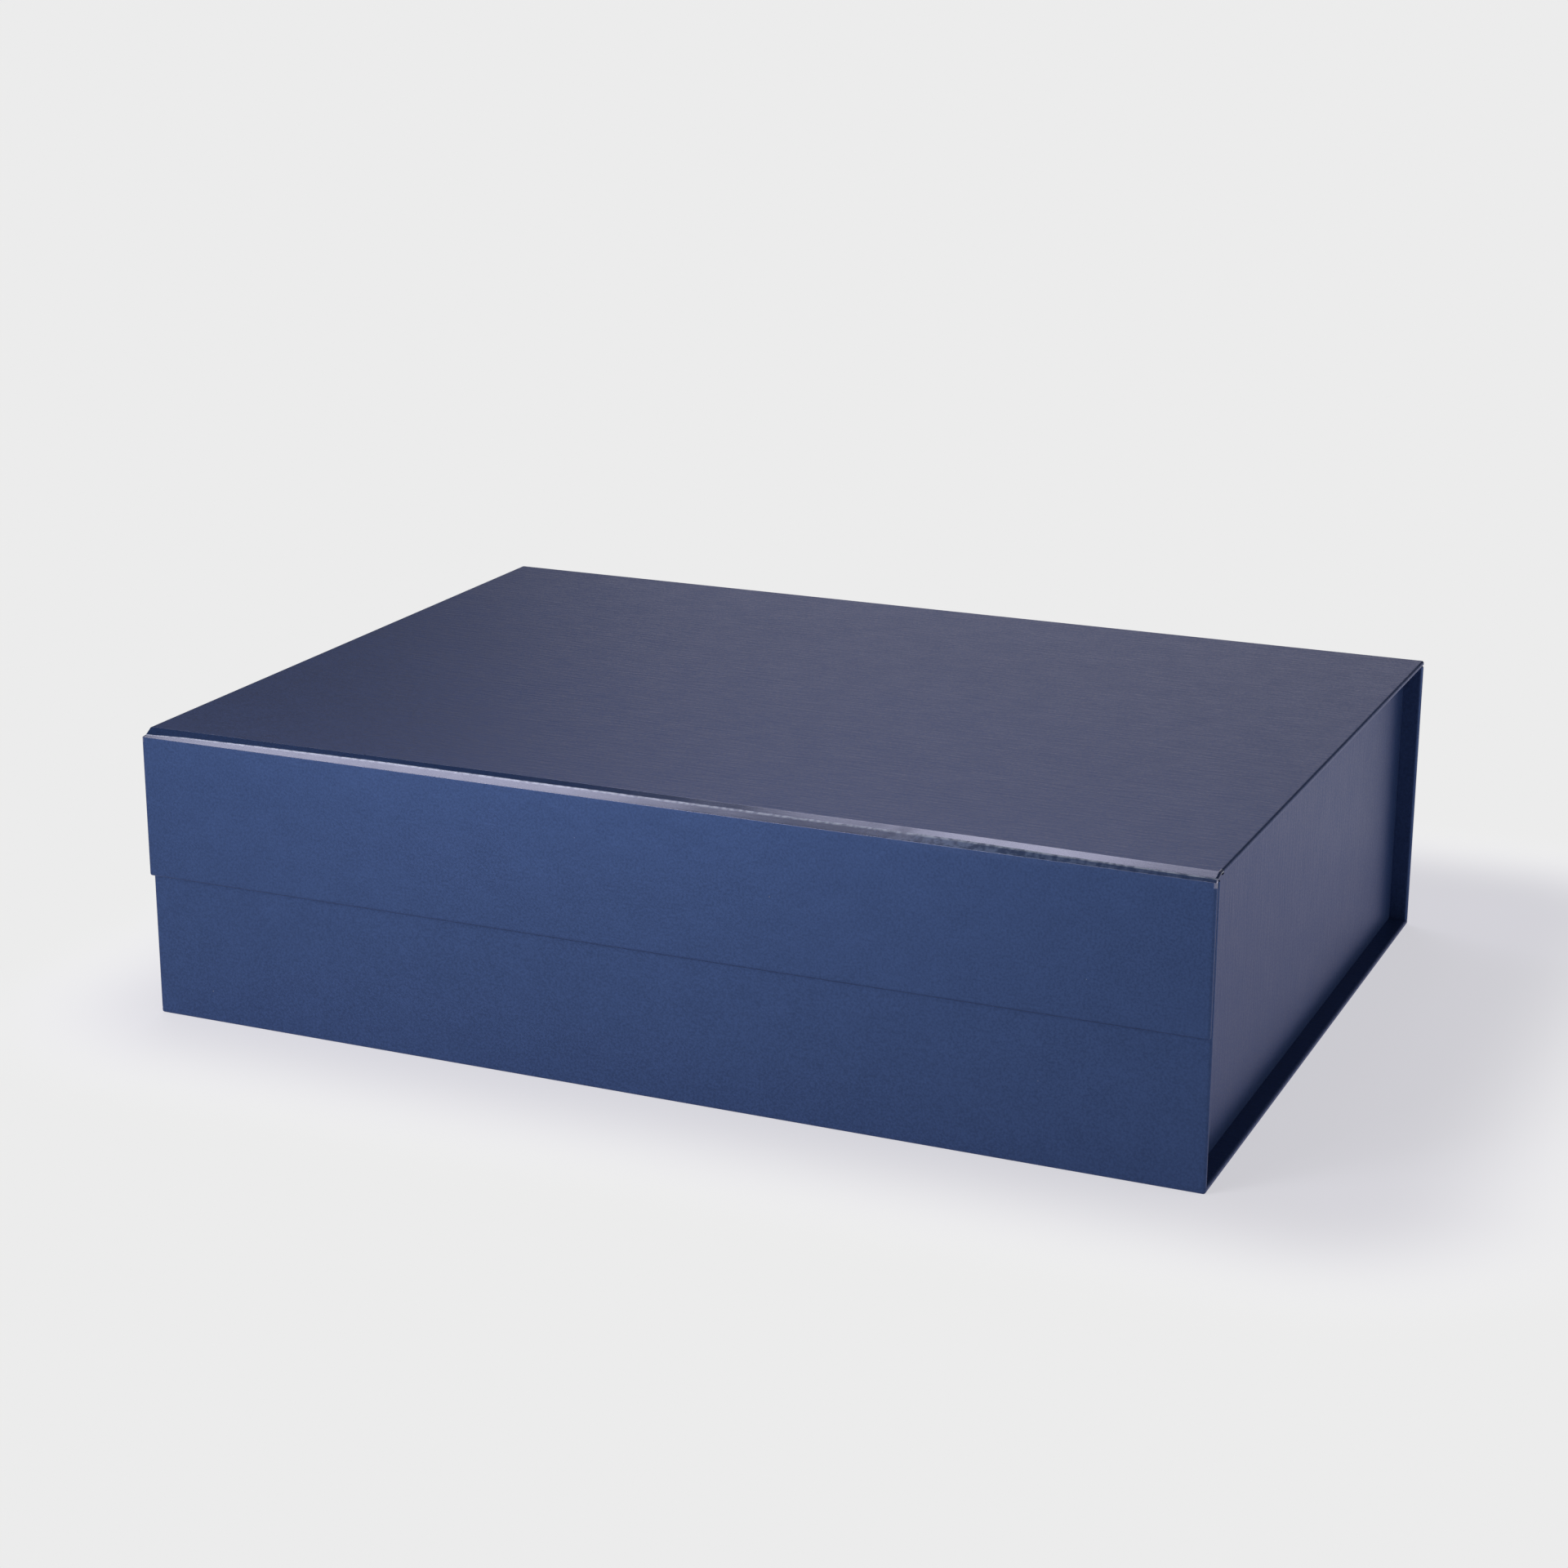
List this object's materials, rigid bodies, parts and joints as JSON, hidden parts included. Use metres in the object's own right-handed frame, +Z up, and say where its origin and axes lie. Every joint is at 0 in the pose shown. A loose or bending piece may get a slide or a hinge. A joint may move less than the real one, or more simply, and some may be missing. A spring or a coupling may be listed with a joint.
{
  "type": "hinged-lid presentation box",
  "caption": "Low rectangular paper-covered board box; its hinged lid ends in a front flap held shut by hidden magnets, and its side walls stand in from the ends.",
  "frame": {"origin": "middle of the footprint, on the surface the box stands on", "axes": "+X along the front towards the right end, +Y from the front flap to the hinged rear wall, +Z up"},
  "size_m": [0.45, 0.326, 0.123],
  "materials": {
    "covering_paper": "satin",
    "fold_paper": "satin",
    "lining_paper": "matte",
    "greyboard": "matte",
    "ear_card": "matte",
    "tape": "satin",
    "magnet": "satin",
    "plate_steel": "satin"
  },
  "bodies": {
    "tray": {"rear_wrap": "covering_paper", "base_wrap": "covering_paper", "front_wrap": "covering_paper", "left_side_wrap": "covering_paper", "right_side_wrap": "covering_paper", "lid_fold": "fold_paper", "left_hinge_strip": "fold_paper", "right_hinge_strip": "fold_paper", "rear_lining": "lining_paper", "base_lining": "lining_paper", "front_lining": "lining_paper", "left_side_lining": "lining_paper", "right_side_lining": "lining_paper", "rear_board": "greyboard", "base_board": "greyboard", "front_board": "greyboard", "left_side_board": "greyboard", "right_side_board": "greyboard", "left_front_ear": "ear_card", "left_rear_ear": "ear_card", "right_front_ear": "ear_card", "right_rear_ear": "ear_card", "left_front_tape": "tape", "left_rear_tape": "tape", "right_front_tape": "tape", "right_rear_tape": "tape", "catch_plates": "plate_steel"},
    "lid": {"lid_wrap": "covering_paper", "lid_board": "greyboard", "lid_lining": "lining_paper", "flap_fold": "fold_paper"},
    "flap": {"flap_wrap": "covering_paper", "flap_board": "greyboard", "flap_lining": "lining_paper", "flap_magnets": "magnet"}
  },
  "joints": [
    {"name": "lid_hinge", "type": "hinge", "parent": "tray", "child": "lid", "pos_m": [0, 0.16315, 0.12045], "axis": [-1, 0, 0], "range_deg": [0, 180], "deforming": ["lid_fold"]},
    {"name": "flap_hinge", "type": "hinge", "parent": "lid", "child": "flap", "pos_m": [0, -0.16188, 0.12188], "axis": [-1, 0, 0], "range_deg": [0, 90], "deforming": ["flap_fold"]}
  ]
}
